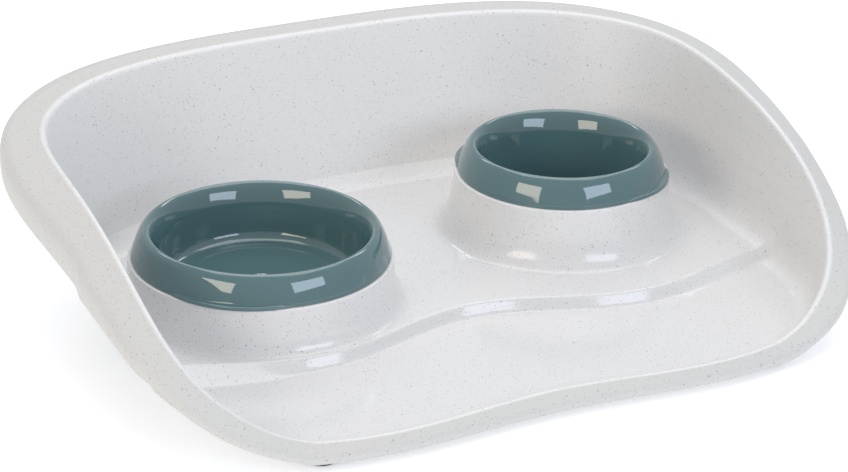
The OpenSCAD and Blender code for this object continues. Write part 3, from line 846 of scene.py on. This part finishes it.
class PETBOWL_OT_tray(bpy.types.Operator):
    """Builds the tray: basin, wall, flange and skirt, two pedestals and four foot holders"""
    bl_idname = "petbowl.tray"
    bl_label = "Build Tray"

    def execute(self, context):
        t = in_mm(context.scene.pet_bowl_tray)
        b = in_mm(context.scene.pet_bowl_bowls)
        g = in_mm(context.scene.pet_bowl_feet)
        t.bowl_pitch = b.bowl_pitch
        a = stations(t)
        rows = section(t, a)
        p, away = rim_xy(t, a), outward(t, a)
        ring = np.concatenate([p + rows[..., :1] * away, rows[..., 1:]], -1)
        deck = t.floor_z + t.step_h
        shell = surface("tray_shell", [
            (ring, False, True, satin_rows(len(rows))),
            (floor_rows(t, ring[0, :, :2], 0), False, False, 0),
            (floor_rows(t, ring[-1, :, :2], t.wall_t), False, False, 1)])
        holes, parts = [], []
        for x, y, r, seat, spread in bowl_places(b, t):
            hole_r = r + spread - t.wall_t / 4
            low, high = t.floor_z - HOLE_MARGIN, deck + HOLE_MARGIN
            drum = np.array([[0, low], [hole_r, low], [hole_r, high], [0, high]])
            holes.append(surface("pedestal_hole", [(revolve(drum, x, y), True, True, 0)]))
            outline = pedestal_outline(b, r, seat, spread, deck, t.wall_t)
            pedestal = revolve(outline, x, y)
            parts.append(surface("pedestal", [(pedestal, True, True, 0)], PEDESTAL_SHARP))
        cut(shell, holes)
        socket = g.foot_r + g.clearance
        outer = socket + g.ring_t
        for _, x, y, top in foot_places(g, t):
            middle = top - t.wall_t / 2
            outline = rounded([[socket, g.foot_proud], [outer, g.foot_proud], [outer, middle],
                               [0, middle], [0, g.foot_h], [socket, g.foot_h]], HOLDER_ROUNDS)
            holder = revolve(outline, x, y, FOOT_STEPS)
            parts.append(surface("foot_holder", [(holder, True, True, 1)]))
        finish(join([shell] + parts, "tray_moulding"), "stand", ["tray"],
               "speckled_abs_moulded")
        return {"FINISHED"}


class PETBOWL_OT_bowls(bpy.types.Operator):
    """Builds the large shallow bowl and the small deep bowl with their finger tabs"""
    bl_idname = "petbowl.bowls"
    bl_label = "Build Bowls"

    def execute(self, context):
        t = in_mm(context.scene.pet_bowl_tray)
        b = in_mm(context.scene.pet_bowl_bowls)
        turn = np.linspace(0, 2 * np.pi, 2 * ROUND_STEPS, endpoint=False)
        large, small = bowl_places(b, t)
        plans = ((large, b.large_depth, b.large_taper, LARGE_TAB, (GATE_MARK, LARGE_RING),
                  "wide_dish", "large_bowl"),
                 (small, b.small_depth, b.small_taper, SMALL_TAB, (GATE_MARK, SMALL_RING),
                  "deep_dish", "small_bowl"))
        for (x, y, r, seat, _), depth, taper, tab, marks, body, node in plans:
            outline = bowl_outline(b, r, depth, taper, turn, np.radians(tab), marks)
            outline[..., 1] += seat
            grid = revolve(outline, x, y, len(turn))
            dish = surface(node + "_dish", [(grid, True, True, 0)], BOWL_SHARP)
            finish(dish, body, [node], "gloss_abs_moulded")
        return {"FINISHED"}


class PETBOWL_OT_feet(bpy.types.Operator):
    """Builds the four rubber feet, each a pad with a low flange and two grip grooves underneath"""
    bl_idname = "petbowl.feet"
    bl_label = "Build Feet"

    def execute(self, context):
        t = in_mm(context.scene.pet_bowl_tray)
        g = in_mm(context.scene.pet_bowl_feet)
        r, h, flange = g.foot_r, g.foot_h, g.foot_r + PAD_FLANGE_OUT
        points, radii = [[0, 0]], [0]
        for start, end in PAD_GROOVES:
            points += [[start, 0], [start + GROOVE_RUN, GROOVE_H], [end - GROOVE_RUN, GROOVE_H],
                       [end, 0]]
            radii += 4 * [GROOVE_ROUND]
        points += [[flange, 0], [flange, PAD_FLANGE_H], [r, PAD_FLANGE_TOP], [r, h], [0, h]]
        outline = rounded(points, radii + list(PAD_ROUNDS))
        for node, x, y, _ in foot_places(g, t):
            pad = surface(node + "_pad", [(revolve(outline, x, y, FOOT_STEPS), True, True, 1)])
            finish(pad, "stand", [node], "nitrile_rubber_moulded")
        return {"FINISHED"}


def look_at(place, target):
    """Rotation that points a light from its place at a target."""
    return (Vector(target) - Vector(place)).to_track_quat("-Z", "Y").to_matrix().to_4x4()


class PETBOWL_OT_stage(bpy.types.Operator):
    """Sets the pale floor, the soft lights and the camera"""
    bl_idname = "petbowl.stage"
    bl_label = "Set Stage"

    def execute(self, context):
        scene = context.scene
        colours = scene.pet_bowl_colours
        mesh = bpy.data.meshes.new("floor")
        half = FLOOR_HALF
        mesh.from_pydata([(-half, -half, 0), (half, -half, 0), (half, half, 0), (-half, half, 0)],
                         [], [(0, 1, 2, 3)])
        floor = bpy.data.objects.new("floor", mesh)
        scene.collection.objects.link(floor)
        # Matt white backdrop paper with a faint glow, for the photo's even white ground
        _, shader, _ = new_finish("matt_paper_backdrop")
        shader.inputs["Base Color"].default_value = colours.floor
        shader.inputs["Roughness"].default_value = 0.9
        shader.inputs["Specular IOR Level"].default_value = 0.1
        shader.inputs["Emission Color"].default_value = colours.floor
        shader.inputs["Emission Strength"].default_value = FLOOR_GLOW
        mesh.materials.append(bpy.data.materials["matt_paper_backdrop"])
        world = bpy.data.worlds.new("studio")
        world.use_nodes = True
        background = world.node_tree.nodes["Background"]
        background.inputs["Color"].default_value = linear(WORLD_COLOUR)
        background.inputs["Strength"].default_value = WORLD_STRENGTH
        scene.world = world
        for name, azimuth, rise, far, wide, high, power, hexa in LAMPS:
            lamp = bpy.data.lights.new(name, "AREA")
            lamp.shape, lamp.size, lamp.size_y = "RECTANGLE", wide, high
            lamp.energy, lamp.color = power, linear(hexa)[:3]
            a, e = np.radians(azimuth + CAMERA_AZIMUTH), np.radians(rise)
            spot = (far * np.sin(a) * np.cos(e), -far * np.cos(a) * np.cos(e), far * np.sin(e))
            light = bpy.data.objects.new(name, lamp)
            light.matrix_world = Matrix.Translation(spot) @ look_at(spot, LAMP_TARGET)
            scene.collection.objects.link(light)
        camera = bpy.data.cameras.new("camera")
        camera.lens = CAMERA_FOCAL * camera.sensor_width
        camera.clip_end = 50
        sight = Vector(CAMERA_SIGHT).normalized()
        right = sight.cross(Vector((0, 0, 1))).normalized()
        up = right.cross(sight)
        c, s = np.cos(np.radians(CAMERA_ROLL)), np.sin(np.radians(CAMERA_ROLL))
        turned = Matrix((right * c + up * s, up * c - right * s, -sight)).transposed().to_4x4()
        view = bpy.data.objects.new("camera", camera)
        place = (Vector(CAMERA_PLACE) - Vector((0, CENTRE_Y, 0))) * MM
        view.matrix_world = Matrix.Translation(place) @ turned
        scene.collection.objects.link(view)
        scene.camera = view
        scene.view_settings.view_transform = "Standard"
        return {"FINISHED"}


class PETBOWL_PT_panel(bpy.types.Panel):
    """Sizes, colours and steps of the pet bowl"""
    bl_idname = "PETBOWL_PT_panel"
    bl_label = "Pet Bowl"
    bl_space_type = "VIEW_3D"
    bl_region_type = "UI"
    bl_category = "Pet Bowl"

    def draw(self, context):
        for operator in OPERATORS:
            self.layout.operator(operator.bl_idname)
        for name in GROUPS:
            group = getattr(context.scene, name)
            box = self.layout.box()
            for key in group.__annotations__:
                box.prop(group, key)


GROUPS = {"pet_bowl_tray": PetBowlTraySizes, "pet_bowl_bowls": PetBowlBowlSizes,
          "pet_bowl_feet": PetBowlFootSizes, "pet_bowl_colours": PetBowlColours}
OPERATORS = (PETBOWL_OT_finishes, PETBOWL_OT_tray, PETBOWL_OT_bowls, PETBOWL_OT_feet,
             PETBOWL_OT_stage)


def register():
    """Adds the sizes, colours, operators and panel to Blender."""
    for group in GROUPS.values():
        bpy.utils.register_class(group)
    for name, group in GROUPS.items():
        setattr(bpy.types.Scene, name, PointerProperty(type=group))
    for item in OPERATORS + (PETBOWL_PT_panel,):
        bpy.utils.register_class(item)


def unregister():
    """Takes them out again."""
    for item in OPERATORS + (PETBOWL_PT_panel,):
        bpy.utils.unregister_class(item)
    for name, group in GROUPS.items():
        delattr(bpy.types.Scene, name)
        bpy.utils.unregister_class(group)


def main():
    """Builds the whole scene."""
    register()
    bpy.ops.petbowl.finishes()
    bpy.ops.petbowl.tray()
    bpy.ops.petbowl.bowls()
    bpy.ops.petbowl.feet()
    bpy.ops.petbowl.stage()


if __name__ == "__main__":
    main()
